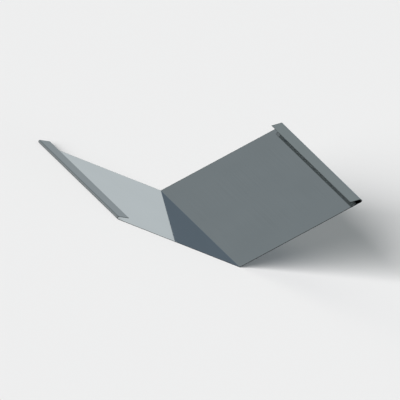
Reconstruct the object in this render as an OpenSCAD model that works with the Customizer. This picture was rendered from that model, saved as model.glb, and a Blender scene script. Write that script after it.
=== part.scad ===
// Valley flashing: one strip of sheet metal, folded into a wide V with an open hook along each edge.
// It lies as it comes to rest: the leg on the -X side flat on the floor, the other leg in the air.
// The origin is where the flat leg's underside meets the fold, halfway along the piece.

/* [Valley] */
// Length of the piece along its fold
piece_l = 500; // [100:10:3000]
// Width of the flat strip that the piece is folded from
strip_w = 500; // [300:10:1250]
// Angle between the two legs, inside the valley
valley_angle = 130; // [90:1:165]

/* [Sheet] */
// Thickness of the sheet
sheet_t = 0.6; // [0.4:0.05:1.5]
// Inside radius of the fold between the legs
fold_r = 1; // [0.5:0.25:6]

/* [Hooks] */
// Depth of each hook, from the outside of its bend to its free edge
hook_w = 19.5; // [12:0.5:40]
// Inside radius of the bend that turns the hook back over its leg
hook_r = 2; // [1:0.25:4]
// Angle by which the hook stands open from its leg
hook_angle = 13; // [0:1:40]

/* [Hidden] */
$fn = 96;
fold_turn = 180 - valley_angle;
hook_turn = 180 - hook_angle;
hook_flat = hook_w - hook_r - sheet_t;
// Each leg takes what the fold, its hook and the bend between them leave of its half of the strip
leg_flat = (strip_w - bend_run(fold_turn, fold_r)) / 2 - bend_run(hook_turn, hook_r) - hook_flat;

// Width of strip that a bend uses up, along the middle of the sheet
function bend_run(turn, inner_r) = turn * PI / 180 * (inner_r + sheet_t / 2);

// A flat run of the sheet along +X with its underside on the X axis.
// What follows it starts from its far end.
module flat_run(run) {
    square([run, sheet_t]);
    translate([run, 0]) children();
}

// A bend that lifts the sheet by an angle, round a centre above it.
// What follows it starts from the end of the bend, turned by the same angle.
module bend(turn, inner_r) {
    outer_r = inner_r + sheet_t;
    past = 2 * outer_r;
    translate([0, outer_r]) {
        intersection() {
            difference() {
                circle(outer_r);
                circle(inner_r);
            }
            translate([0, -past]) square([past, 2 * past]);
            rotate(turn) translate([-past, -past]) square([past, 2 * past]);
        }
        rotate(turn) translate([0, -outer_r]) children();
    }
}

// A leg with its hook: out from the fold, round the hook's bend and back over the leg
module hooked_leg() {
    flat_run(leg_flat) bend(hook_turn, hook_r) flat_run(hook_flat);
}

// The section of the folded sheet, with the flat leg towards -X
module section() {
    mirror([1, 0]) hooked_leg();
    bend(fold_turn, fold_r) hooked_leg();
}

module valley_flashing() {
    color("slategray")
        rotate([90, 0, 0]) linear_extrude(height = piece_l, center = true) section();
}

valley_flashing();
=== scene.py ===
# Valley flashing: one strip of sheet metal, folded into a wide V and hooked along both outer edges
import math

import bpy
import numpy as np
from mathutils import Matrix, Vector


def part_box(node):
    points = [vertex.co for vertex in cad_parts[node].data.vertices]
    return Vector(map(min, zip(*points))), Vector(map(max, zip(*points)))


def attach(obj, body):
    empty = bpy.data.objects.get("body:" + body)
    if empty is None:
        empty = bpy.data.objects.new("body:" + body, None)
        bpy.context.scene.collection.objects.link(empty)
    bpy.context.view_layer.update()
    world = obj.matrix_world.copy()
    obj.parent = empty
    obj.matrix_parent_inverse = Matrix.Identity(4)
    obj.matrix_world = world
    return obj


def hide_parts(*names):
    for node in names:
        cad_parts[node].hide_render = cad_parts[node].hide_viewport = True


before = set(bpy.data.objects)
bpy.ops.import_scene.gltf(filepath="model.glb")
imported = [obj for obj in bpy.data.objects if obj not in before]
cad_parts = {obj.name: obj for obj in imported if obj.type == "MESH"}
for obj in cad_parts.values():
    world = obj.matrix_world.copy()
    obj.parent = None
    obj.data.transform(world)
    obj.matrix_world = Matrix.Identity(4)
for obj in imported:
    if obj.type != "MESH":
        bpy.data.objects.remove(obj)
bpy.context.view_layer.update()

mm = 0.001
lowCorner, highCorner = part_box("valley_flashing")
print("frame loaded, box in metres:", [round(high - low, 4) for low, high in zip(lowCorner, highCorner)])


# Shader maths as sums: each operator adds one Math node

class Term:
    def __init__(self, graph, socket):
        self.graph = graph
        self.socket = socket

    def join(self, operation, left, right):
        return self.graph.add("Math", {"operation": operation}, {0: left, 1: right})

    def __add__(self, other):
        return self.join("ADD", self, other)

    def __sub__(self, other):
        return self.join("SUBTRACT", self, other)

    def __rsub__(self, other):
        return self.join("SUBTRACT", other, self)

    def __mul__(self, other):
        return self.join("MULTIPLY", self, other)

    __radd__ = __add__
    __rmul__ = __mul__


class Graph:
    def __init__(self, tree):
        self.tree = tree
        tree.nodes.clear()

    # kind is the node's type, settings are set first, inputs are values or links by name or number
    def add(self, kind, settings=None, inputs=None, output=0):
        node = self.tree.nodes.new("ShaderNode" + kind)
        for name, value in (settings or {}).items():
            if name == "stops":
                self.setStops(node.color_ramp, value)
            else:
                setattr(node, name, value)
        for key, value in (inputs or {}).items():
            if isinstance(value, Term):
                self.tree.links.new(value.socket, node.inputs[key])
            else:
                node.inputs[key].default_value = value
        return Term(self, node.outputs[output]) if node.outputs else node

    def setStops(self, ramp, stops):
        while len(ramp.elements) < len(stops):
            ramp.elements.new(1)
        for element, (position, colour) in zip(ramp.elements, stops):
            element.position = position
            element.color = (*colour, 1)

    # 6, 7 and output 2 are the Mix node's colour sockets
    def mixColour(self, factor, first, second):
        return self.add("Mix", {"data_type": "RGBA"}, {0: factor, 6: first, 7: second}, output=2)


# The folded sheet

sheet = {
    "length": highCorner[1] - lowCorner[1],
    "stripWidth": 500 * mm,    # the flat strip before it is folded
    "thickness": 0.6 * mm,
    "valleyAngle": 130,        # degrees, inside the V
    "foldRadius": 1 * mm,      # inside radius of the fold between the legs
    "hookDepth": 19.5 * mm,
    "hookRadius": 2 * mm,      # inside radius of the hooks' bends
    "hookAngle": 13,           # degrees that a hook stands open from its leg
    "edgeRound": 0.12 * mm,    # sheared edges, slightly rounded
    "roundStep": 18,           # degrees from cut to cut round those edges
    "endMargin": 2 * mm,       # how far a sheared end's dulling and painted shade reach in
    "endDulled": 0.95,         # how dull, and how dark with painted shade, the margin is where it starts
    "shadeReach": 11 * mm,     # how far the painted shade in a hook's bend reaches along its flats
    "undersideShift": 1.5,     # strip widths from the upper face's pattern to the underside's
    "besideBend": 2,           # edge roundings from a bend to the nearest cut on its flats
    "besideEnd": 3,            # edge roundings from an end to the first cut past its rounding
    "foldSteps": 14,           # mesh steps round the fold
    "hookSteps": 44,           # round each hook's bend
    "flatSteps": 18,           # across each flat
    "lengthSteps": 40,         # along the fold
}

# From one free edge to the other the strip has seven runs: hook, its bend, leg, fold, leg, the
# other hook's bend and hook. These are the bends among them, counted from 0.
hookBends = (1, 5)
foldBend = 3
sameDigits = 9    # decimals of a metre down to which two places count as one


# Distances along the strip where flats and bends change over, and the sheet's angle at each.
# A bend uses up its turn times the radius of the sheet's middle line, and the legs get the rest.
def stripPlan(spec):
    foldTurn = math.radians(180 - spec["valleyAngle"])
    hookTurn = math.radians(180 - spec["hookAngle"])
    half = spec["thickness"] / 2
    foldRun = foldTurn * (spec["foldRadius"] + half)
    hookRun = hookTurn * (spec["hookRadius"] + half)
    hookFlat = spec["hookDepth"] - spec["hookRadius"] - spec["thickness"]
    legFlat = (spec["stripWidth"] - foldRun) / 2 - hookRun - hookFlat
    runs = [hookFlat, hookRun, legFlat, foldRun, legFlat, hookRun, hookFlat]
    turns = [0, hookTurn, 0, foldTurn, 0, hookTurn, 0]
    breaks = np.concatenate([[0], np.cumsum(runs)])
    angles = np.concatenate([[0], np.cumsum(turns)]) - hookTurn
    return breaks, angles, np.array(turns)


# Places to cut across the strip: even steps round the bends, and on the flats even steps with
# one more close to each end, so that a flat stays flat right up to its bend.
def stripSamples(spec, breaks, turns):
    steps = np.where(turns > 0, spec["hookSteps"], spec["flatSteps"])
    steps[foldBend] = spec["foldSteps"]
    close = spec["edgeRound"] * spec["besideBend"]
    rows = []
    for start, end, turn, count in zip(breaks[:-1], breaks[1:], turns, steps):
        row = np.linspace(start, end, count + 1)
        if turn == 0:
            row = np.sort(np.concatenate([row, [start + close, end - close]]))
        rows.append(row)
    return np.unique(np.round(np.concatenate(rows), sameDigits))


# The sheet's middle line at distances s along the strip. Its angle grows evenly round a bend and
# holds on a flat. Its place is the running sum of chords, each step * sin(turn / 2) / (turn / 2)
# long and pointing halfway between the angles at its ends. The fold starts at x = 0.
def middleLine(spec, breaks, angles, s):
    angle = np.interp(s, breaks, angles)
    turn = np.diff(angle)
    chord = np.diff(s) * np.sinc(turn / (2 * np.pi))
    heading = angle[:-1] + turn / 2
    x = np.concatenate([[0], np.cumsum(chord * np.cos(heading))])
    z = np.concatenate([[0], np.cumsum(chord * np.sin(heading))])
    foldStart = np.argmin(np.abs(s - breaks[foldBend]))
    return x - x[foldStart], z - z[foldStart] + spec["thickness"] / 2, angle


# Half of the outline of the sheet's section, from one free edge to the other: distance along the
# strip and height over the middle line. Round an edge they are r cos t and r sin t from its centre.
# inset draws the whole outline in, for the rounded ends.
def halfOutline(spec, s, inset):
    r = spec["edgeRound"]
    height = spec["thickness"] / 2 - inset
    first, last = inset + r, s[-1] - inset - r
    quarter = np.radians(np.arange(0, 90, spec["roundStep"]))
    row = np.clip(s[1:-1], first, last)
    along = np.concatenate([first - r * np.cos(quarter), [first], row, [last],
                            last + r * np.cos(quarter[::-1])])
    above = np.concatenate([height - r + r * np.sin(quarter), [height], np.full(len(row), height),
                            [height], height - r + r * np.sin(quarter[::-1])])
    return along, above


# Cuts across the length: places y, and how far the section is drawn in at each. Round an end's
# edges y = reach - r + r sin t and inset = r (1 - cos t), with t from 0 to 90 degrees.
def lengthCuts(spec):
    r = spec["edgeRound"]
    reach = spec["length"] / 2
    rounding = np.radians(np.arange(90, -1, -spec["roundStep"]))
    even = np.linspace(-reach + r, reach - r, spec["lengthSteps"] + 1)[1:-1]
    close = np.array([r * spec["besideEnd"], spec["endMargin"]])
    middle = np.sort(np.concatenate([close - reach, even, reach - close]))
    end = reach - r + r * np.sin(rounding)
    drawnIn = r * (1 - np.cos(rounding))
    y = np.concatenate([-end, middle, end[::-1]])
    inset = np.concatenate([drawnIn, np.zeros(len(middle)), drawnIn[::-1]])
    return y, inset


# Faces of a grid of points, in rows along Y, each row a closed ring round the section. The ends
# are filled by quads between the ring's upper half and its lower half.
def gridFaces(rows, ring):
    grid = np.arange(rows * ring).reshape(rows, ring)
    ahead = np.roll(grid, -1, axis=1)
    sides = np.stack([grid[:-1], ahead[:-1], ahead[1:], grid[1:]], axis=-1).reshape(-1, 4)
    over, under = grid[:, :ring // 2], grid[:, ::-1][:, :ring // 2]
    front = np.stack([over[0, :-1], under[0, :-1], under[0, 1:], over[0, 1:]], axis=-1)
    back = np.stack([over[-1, :-1], over[-1, 1:], under[-1, 1:], under[-1, :-1]], axis=-1)
    return np.concatenate([sides, front, back])


# Masks for the finish, from 0 to 1 at every point.
# bent: 0 on the flats, rising evenly to 1 halfway round a bend.
# The painted shade in the hooks: 1 on the inner face of a hook's bend, then 3 t^2 - 2 t^3 along its
# flats, with t falling from 1 at the bend to 0 at the end of the shade's reach.
# inside: 1 on the hooks' inner faces.
# cut: 1 on the sheared edges, and along the two ends a margin that fades evenly to 0. Its colour
# there is painted shade, its roughness the sheared metal's own.
def finishMasks(spec, breaks, turns, along, above, y):
    bent = np.zeros_like(along)
    for start, end, turn in zip(breaks[:-1], breaks[1:], turns):
        if turn > 0:
            bent = np.maximum(bent, 1 - np.abs(along - (start + end) / 2) / ((end - start) / 2))
    deep = np.zeros_like(along)
    for bend in hookBends:
        past = np.maximum(breaks[bend] - along, along - breaks[bend + 1])
        t = np.clip(1 - past / spec["shadeReach"], 0, 1)
        deep = np.maximum(deep, t * t * (3 - 2 * t))
    onHook = (along < breaks[hookBends[0]]) | (along > breaks[hookBends[1] + 1])
    fromEnd = spec["length"] / 2 - np.abs(y)
    # the margin darkens the ends' faces as painted shade, and dulls them as sheared metal is
    margin = spec["endDulled"] * np.clip(1 - fromEnd / spec["endMargin"], 0, 1)
    onFace = np.isclose(np.abs(above), spec["thickness"] / 2, rtol=0, atol=10 ** -sameDigits)
    return {
        "bent": bent,
        "cut": np.where(onFace, margin, 1),
        "deep": np.where(above > 0, deep, 0),
        "inside": np.where(onHook & (above > 0), 1, 0),
    }


# The solid: its section is carried along Y. A point at distance s and height w lies at the middle
# line's point plus w times its normal, (-sin angle, cos angle).
def foldedSheet(spec):
    breaks, angles, turns = stripPlan(spec)
    s = stripSamples(spec, breaks, turns)
    x, z, angle = middleLine(spec, breaks, angles, s)
    cuts, inset = lengthCuts(spec)
    halves = [halfOutline(spec, s, drawnIn) for drawnIn in inset]
    along = np.array([np.concatenate([run, run[::-1]]) for run, height in halves])
    above = np.array([np.concatenate([height, -height[::-1]]) for run, height in halves])
    y = np.broadcast_to(cuts[:, None], along.shape)
    lean = np.interp(along, s, angle)
    points = np.stack([
        np.interp(along, s, x) - above * np.sin(lean),
        y,
        np.interp(along, s, z) + above * np.cos(lean),
    ], axis=-1)
    shift = np.where(above < 0, spec["stripWidth"] * spec["undersideShift"], 0)
    return {
        "points": points.reshape(-1, 3),
        "faces": gridFaces(*along.shape),
        "strip": np.stack([along + shift, y], axis=-1).reshape(-1, 2),
        "masks": finishMasks(spec, breaks, turns, along, above, y),
    }


def meshObject(name, shape):
    mesh = bpy.data.meshes.new(name)
    mesh.from_pydata(shape["points"].tolist(), [], shape["faces"].tolist())
    corners = np.empty(len(mesh.loops), dtype=np.int32)
    mesh.loops.foreach_get("vertex_index", corners)
    strip = mesh.uv_layers.new(name="strip")
    strip.data.foreach_set("uv", shape["strip"][corners].astype(np.float32).ravel())
    for key, mask in shape["masks"].items():
        attribute = mesh.attributes.new(key, "FLOAT", "POINT")
        attribute.data.foreach_set("value", mask.ravel().astype(np.float32))
    mesh.shade_smooth()
    mesh.update()
    made = bpy.data.objects.new(name, mesh)
    bpy.context.scene.collection.objects.link(made)
    return made


# Finish of the metal. The pattern lies in the strip's own coordinates, so it follows the sheet
# round its bends: fine streaks along the rolling direction and wide soft clouds.
metal = {
    "dark": (0.490, 0.535, 0.567),
    "light": (0.630, 0.685, 0.724),
    # near-black: painted shade for the dark line along the sheared edges and ends
    "shadedCutEdge": (0.030, 0.032, 0.034),
    "hookReflectionTint": (0.60, 0.61, 0.60),    # the hooks' inner faces, a little warmer: painted reflection colour, tinting what the gaps under the hooks mirror
    # painted shade deep inside the hooks' bends
    "paintedShadeInHook": (0.13, 0.14, 0.145),
    "roughness": 0.015,
    "streakRoughness": 0.015,
    "cloudRoughness": 0.01,
    "bendRoughness": 0.04,
    "cutRoughness": 0.35,
    "streakShare": 0.6,                  # of the tone, and the clouds have the rest
    "streakScale": (900, 5, 1),          # per metre across and along the strip
    "streakDetail": 4,
    "cloudScale": (11, 7, 1),
    "cloudDetail": 2,
    "bumpDepth": 0.5e-6,
}


# Colour: streaks and clouds make one tone between dark and light. Over it lie the hooks' inner
# faces, warmer as a painted reflection colour, the painted shade in their bends and the cut edges,
# near-black as painted shade, each by its mask. Roughness: a base, the streaks and clouds, which the
# cut edges don't have, more on the bends, and much more on the cut edges, which are really duller.
def sheetMetal(look):
    material = bpy.data.materials.new("sheetMetal")
    material.use_nodes = True
    graph = Graph(material.node_tree)
    strip = graph.add("UVMap", {"uv_map": "strip"})

    def mask(name):
        return graph.add("Attribute", {"attribute_name": name}, output=2)    # its plain number

    def noise(scale, detail):
        placed = graph.add("Mapping", {}, {"Vector": strip, "Scale": scale})
        return graph.add("TexNoise", {}, {"Vector": placed, "Scale": 1, "Detail": detail})

    bent, cut, deep, inside = mask("bent"), mask("cut"), mask("deep"), mask("inside")
    streak = noise(look["streakScale"], look["streakDetail"])
    cloud = noise(look["cloudScale"], look["cloudDetail"])
    share = look["streakShare"]
    blend = streak * share + cloud * (1 - share)
    tone = graph.mixColour(blend, (*look["dark"], 1), (*look["light"], 1))
    # the hooks' inner faces take a warmer tint: painted reflection colour for the gaps under the hooks
    warmed = graph.mixColour(inside, tone, (*look["hookReflectionTint"], 1))
    # painted shade in the hooks' bends, laid over their inner faces
    shaded = graph.mixColour(deep, warmed, (*look["paintedShadeInHook"], 1))
    # cut edges and end margins near-black: painted shade
    colour = graph.mixColour(cut, shaded, (*look["shadedCutEdge"], 1))
    rolled = (streak * look["streakRoughness"] + cloud * look["cloudRoughness"]) * (1 - cut)
    roughness = rolled + bent * look["bendRoughness"] + cut * look["cutRoughness"] + look["roughness"]
    bump = graph.add("Bump", {}, {"Height": streak, "Distance": look["bumpDepth"], "Strength": 1})
    shader = graph.add("BsdfPrincipled", {}, {
        "Base Color": colour, "Metallic": 1, "Roughness": roughness, "Normal": bump})
    graph.add("OutputMaterial", {}, {"Surface": shader})
    return material


folded = meshObject("folded_sheet", foldedSheet(sheet))
folded.data.materials.append(sheetMetal(metal))
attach(folded, "root")
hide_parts("valley_flashing")
print("sheet folded,", len(folded.data.polygons), "faces")


# Floor and studio

studio = {
    "floorSize": 24,
    "floorColour": (0.80, 0.79, 0.79),       # as the camera sees it
    "floorMirrored": (0.28, 0.29, 0.295),    # as the metal sees it, so that its lower edges stay dark
    # the light round the fold, by degrees from the raised leg's far side over the top: bright low
    # on both sides and darkest overhead. The notes say what mirrors it in the camera's view.
    "sky": [
        (0, (0.60, 0.64, 0.645)),
        (21, (0.579, 0.618, 0.625)),     # the flat leg
        (47, (0.345, 0.372, 0.379)),     # its hook
        (68, (0.19, 0.225, 0.25)),
        (79, (0.160, 0.194, 0.224)),     # the raised leg, where the flat leg mirrors it
        (95, (0.292, 0.321, 0.317)),     # the raised leg's hook
        (121, (0.268, 0.290, 0.293)),    # the raised leg
        (147, (0.239, 0.250, 0.236)),    # the gap under its hook
        (173, (0.59, 0.563, 0.52)),      # the same gap, a little deeper
        (180, (0.60, 0.585, 0.55)),
    ],
    "backdrop": (0.86, 0.86, 0.86),    # where the floor ends, for the camera alone
    "lampFrom": (-3.3, -5.91, 1),      # low at the front left, so the shadow goes back to the right
    "lampSpread": 12,                  # degrees across, which softens the shadow's border
    "lampStrength": 16.6,
    "lampColour": (1.0, 0.99, 0.985),
}


def studioFloor(look):
    material = bpy.data.materials.new("floorPaint")
    material.use_nodes = True
    graph = Graph(material.node_tree)
    cameraRay = graph.add("LightPath")
    colour = graph.mixColour(cameraRay, (*look["floorMirrored"], 1), (*look["floorColour"], 1))
    shader = graph.add("BsdfDiffuse", {}, {"Color": colour})
    graph.add("OutputMaterial", {}, {"Surface": shader})
    reach = look["floorSize"] / 2
    corners = [(-reach, -reach, 0), (reach, -reach, 0), (reach, reach, 0), (-reach, reach, 0)]
    mesh = bpy.data.meshes.new("studio_floor")
    mesh.from_pydata(corners, [], [(0, 1, 2, 3)])
    mesh.materials.append(material)
    floor = bpy.data.objects.new("studio_floor", mesh)
    bpy.context.scene.collection.objects.link(floor)


# The sky's ramp runs with the angle round the fold: atan2(z, x) of the direction, over a half turn
def studioSky(look):
    world = bpy.data.worlds.new("studioSky")
    world.use_nodes = True
    graph = Graph(world.node_tree)
    direction = graph.add("TexCoord")
    side = graph.add("SeparateXYZ", {}, {"Vector": direction})
    height = graph.add("SeparateXYZ", {}, {"Vector": direction}, output=2)
    halfTurns = graph.add("Math", {"operation": "ARCTAN2"}, {0: height, 1: side}) * (1 / math.pi)
    stops = [(degrees / 180, colour) for degrees, colour in look["sky"]]
    light = graph.add("ValToRGB", {"stops": stops}, {"Fac": halfTurns})
    cameraRay = graph.add("LightPath")
    colour = graph.mixColour(cameraRay, light, (*look["backdrop"], 1))
    shader = graph.add("Background", {}, {"Color": colour, "Strength": 1})
    graph.add("OutputWorld", {}, {"Surface": shader})
    bpy.context.scene.world = world


def studioLamp(look):
    light = bpy.data.lights.new("softbox", "SUN")
    light.energy = look["lampStrength"]
    light.angle = math.radians(look["lampSpread"])
    light.color = look["lampColour"]
    lamp = bpy.data.objects.new("softbox", light)
    lamp.visible_glossy = False    # the metal shows the sky but not the lamp itself
    lamp.matrix_world = Vector(look["lampFrom"]).to_track_quat("Z", "Y").to_matrix().to_4x4()
    bpy.context.scene.collection.objects.link(lamp)


studioFloor(studio)
studioSky(studio)
studioLamp(studio)
print("studio lit")


# Camera: a parallel view, turned in its picture as the photograph shows the V upright

photo = {
    "azimuth": -19.77,                 # degrees from looking along the fold
    "elevation": 7.48,
    "roll": 24.20,
    "metresPerPixel": 1.633 * mm,
    "pixels": 400,
    "originPixel": (199.91, 229.01),   # where the fold's middle shows
    "distance": 5,
}


def photoCamera(view):
    azimuth, elevation, roll = (math.radians(view[key]) for key in ("azimuth", "elevation", "roll"))
    back = Vector((math.sin(azimuth) * math.cos(elevation), -math.cos(azimuth) * math.cos(elevation),
                   math.sin(elevation)))
    level = Vector((math.cos(azimuth), math.sin(azimuth), 0))
    upright = back.cross(level)
    right = math.cos(roll) * level + math.sin(roll) * upright
    up = back.cross(right)
    scale = view["metresPerPixel"]
    across = (view["pixels"] / 2 - view["originPixel"][0]) * scale
    down = (view["pixels"] / 2 - view["originPixel"][1]) * scale
    place = right * across - up * down + back * view["distance"]
    data = bpy.data.cameras.new("camera")
    data.type = "ORTHO"
    data.ortho_scale = view["pixels"] * scale
    camera = bpy.data.objects.new("camera", data)
    turn = Matrix((right, up, back)).transposed().to_4x4()
    camera.matrix_world = Matrix.Translation(place) @ turn
    bpy.context.scene.collection.objects.link(camera)
    bpy.context.scene.camera = camera


photoCamera(photo)
bpy.context.scene.view_settings.view_transform = "Standard"
print("camera set")
